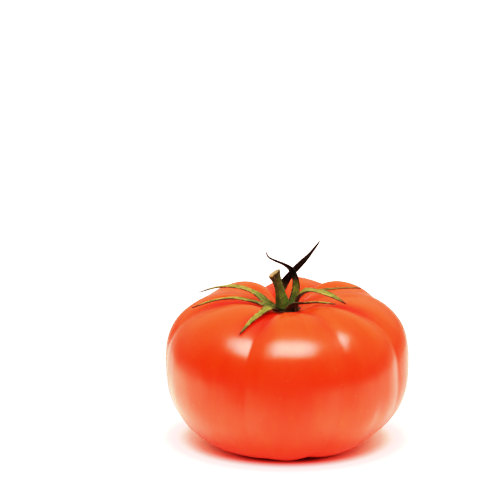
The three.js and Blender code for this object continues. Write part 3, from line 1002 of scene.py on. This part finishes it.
def makeStem(material):
    rows = stem["rows"]
    places, headings = evenPath([Vector(stem[key]) for key in ("foot", "bend", "neck", "top")], rows)
    deselectAll()
    bpy.ops.mesh.primitive_cylinder_add(vertices=stem["sides"], radius=1, depth=2, end_fill_type="TRIFAN")
    stub = bpy.context.object
    bpy.ops.object.mode_set(mode="EDIT")
    bpy.ops.mesh.select_mode(type="EDGE")
    bpy.ops.mesh.select_all(action="DESELECT")
    bpy.ops.object.mode_set(mode="OBJECT")
    for edge in stub.data.edges:
        ends = [stub.data.vertices[index].co.z for index in edge.vertices]
        edge.select = abs(ends[0] - ends[1]) > 1
    bpy.ops.object.mode_set(mode="EDIT")
    bpy.ops.mesh.subdivide_edgering(number_cuts=rows - 1, interpolation="LINEAR")
    bpy.ops.object.mode_set(mode="OBJECT")
    shares = []
    for vertex in stub.data.vertices:
        row = round((vertex.co.z + 1) / 2 * rows)
        share = row / rows
        shares.append(share)
        angle = math.atan2(vertex.co.y, vertex.co.x)
        rim = math.hypot(vertex.co.x, vertex.co.y)
        hollow = stem["hollow"] if row == rows and rim < 0.5 else 0
        ridges = math.sin(stem["ridges"] * angle + stem["ridgeTwist"] * share)
        ridges += 0.5 * math.sin(stem["fineRidges"] * angle + 2)
        ringScale, rise = stem["lumpScale"]
        lumps = noise.noise(Vector((math.cos(angle) * ringScale, math.sin(angle) * ringScale, share * rise)))
        uneven = 1 + stem["ridgeDepth"] * ridges + stem["lumpDepth"] * lumps
        radius = rim * (stemRadius(share) * uneven)
        leaning = smoothStep(share, stem["tiltFrom"], 1)
        tilt = math.radians(blend(stem["footTilt"], stem["topTilt"], leaning))
        ring = Vector((math.cos(angle) * math.cos(tilt), math.sin(angle), math.cos(angle) * math.sin(tilt)))
        vertex.co = (places[row] + ring * radius - headings[row] * hollow) * mm
    stub.data.attributes.new("upStem", "FLOAT", "POINT").data.foreach_set("value", shares)
    bpy.ops.object.shade_smooth_by_angle(angle=math.radians(stem["softAngle"]))
    finishPiece(stub, "stemStub", "stem", material)
    return stub


stemLook = {
    "patches": {"Patch Scale": 330.0, "Grain Scale": 1800.0, "Grain Share": 0.3},
    "green": (0.045, 0.10, 0.006, 1),
    "lightGreen": (0.10, 0.18, 0.012, 1),
    "brown": (0.050, 0.042, 0.012, 1),       # painted shade towards the left, and the stem's own browning towards the top
    "leftRange": (-0.0055, 0.0),
    "leftShadeShare": 0.55,
    "topRange": (0.3, 0.85),
    "topShare": 0.3,
    "shadeUnderLip": (0.030, 0.018, 0.008, 1),      # painted shade: dark ring under the swollen broken end
    "shadeUnderLipRange": (0.86, 0.94),
    "shadeUnderLipShare": 0.7,
    "lip": (0.42, 0.36, 0.17, 1),            # pale rim of it
    "lipRange": (1.0, 1.02),
    "lipShare": 0.8,
    "rag": 0.06,              # how uneven the borders of both are
    "dots": {"Scale": 900.0, "Size": 0.25, "Share": 0.12},
    "dotGreen": (0.35, 0.38, 0.18, 1),
    "dotShare": 0.7,
    "bump": {"Strength": 0.4, "Distance": 0.0002},
    "surface": {"Roughness": 0.6},
}


def makeStemMaterial(mottle, specks):
    look = stemLook
    material, tree, shader = newMaterial("stemGreen")
    place = addNode(tree, "ShaderNodeTexCoord").outputs["Object"]
    part = addNode(tree, "ShaderNodeSeparateXYZ", {"Vector": place})
    patches = groupMask(tree, mottle, place, look["patches"])
    upStem = readAttribute(tree, "upStem")
    ragged = mathNode(tree, "MULTIPLY_ADD", patches, look["rag"], upStem)
    # Painted shade darkens the left side; towards the top the stem browns.
    right = mapRange(tree, part.outputs["X"], *look["leftRange"])
    shadeAndAge = mathNode(tree, "MULTIPLY", mathNode(tree, "SUBTRACT", 1.0, right), look["leftShadeShare"])
    high = mapRange(tree, upStem, *look["topRange"])
    shadeAndAge = mathNode(tree, "MULTIPLY_ADD", high, look["topShare"], shadeAndAge, clamp=True)
    colour = mixColour(tree, patches, look["green"], look["lightGreen"])
    colour = mixColour(tree, shadeAndAge, colour, look["brown"])
    # Painted shade under the swollen end, then the pale rim of the broken end.
    for ring in ("shadeUnderLip", "lip"):
        mask = mapRange(tree, ragged, *look[ring + "Range"])
        colour = cover(tree, colour, mask, look[ring + "Share"], look[ring])
    dots = groupMask(tree, specks, place, look["dots"])
    colour = cover(tree, colour, dots, look["dotShare"], look["dotGreen"])
    bump = addNode(tree, "ShaderNodeBump", {**look["bump"], "Height": patches})
    tree.links.new(bump.outputs["Normal"], shader.inputs["Normal"])
    setSurface(tree, shader, colour, look["surface"])
    return material


# Hairs

hairs = {
    "sides": 4,
    "radius": 0.04,
    "length": (0.45, 0.9),
    "lean": 0.6,              # how far they bend from upright, as a share
    "rooted": 0.45,           # lifts the cone so that its foot sits just under the skin
    "onCalyx": 520,
    "onStem": 190,
    "calyxSeed": 5,
    "stemSeed": 8,
    "patches": {"Patch Scale": 500.0},
    "dark": (0.22, 0.20, 0.08, 1),
    "pale": (0.55, 0.52, 0.30, 1),
    "surface": {"Roughness": 0.6},
}


def makeHairs(host, count, seed, name, node, material):
    # One small cone, set on places picked from the host's skin.
    draw = random.Random(seed)
    deselectAll()
    bpy.ops.mesh.primitive_cone_add(
        vertices=hairs["sides"], radius1=1, radius2=0, depth=1, end_fill_type="NGON")
    cone = bpy.context.object
    shape = [vertex.co + Vector((0, 0, hairs["rooted"])) for vertex in cone.data.vertices]
    faces = [list(face.vertices) for face in cone.data.polygons]
    points, polygons = [], []
    skin = host.data.vertices
    for _ in range(count):
        spot = skin[draw.randrange(len(skin))]
        lean = Vector([draw.uniform(-1, 1) for _ in range(3)]) * hairs["lean"]
        along = (spot.normal + lean).normalized()
        turn = along.to_track_quat("Z", "Y")
        size = Vector((hairs["radius"], hairs["radius"], draw.uniform(*hairs["length"]))) * mm
        first = len(points)
        points += [spot.co + turn @ (corner * size) for corner in shape]
        polygons += [[first + index for index in face] for face in faces]
    cone.data.clear_geometry()
    cone.data.from_pydata(points, [], polygons)
    cone.location = (0, 0, 0)
    finishPiece(cone, name, node, material)


def makeHairMaterial(mottle):
    material, tree, shader = newMaterial("paleHair")
    place = addNode(tree, "ShaderNodeTexCoord").outputs["Object"]
    patches = groupMask(tree, mottle, place, hairs["patches"])
    colour = mixColour(tree, patches, hairs["dark"], hairs["pale"])
    setSurface(tree, shader, colour, hairs["surface"])
    return material


# Build

setTone()
addCamera()
addLights()
addFloor()
print("camera, light and floor ready")
mottleGroup = buildMottleGroup()
speckGroup = buildSpeckGroup()
makeFruit(makeSkinMaterial(mottleGroup, speckGroup))
print("fruit ready")
star = makeCalyx(makeSepalMaterial(mottleGroup))
print("calyx ready")
stub = makeStem(makeStemMaterial(mottleGroup, speckGroup))
print("stem ready")
paleHair = makeHairMaterial(mottleGroup)
makeHairs(star, hairs["onCalyx"], hairs["calyxSeed"], "calyxHairs", "calyx", paleHair)
makeHairs(stub, hairs["onStem"], hairs["stemSeed"], "stemHairs", "stem", paleHair)
print("hairs ready")
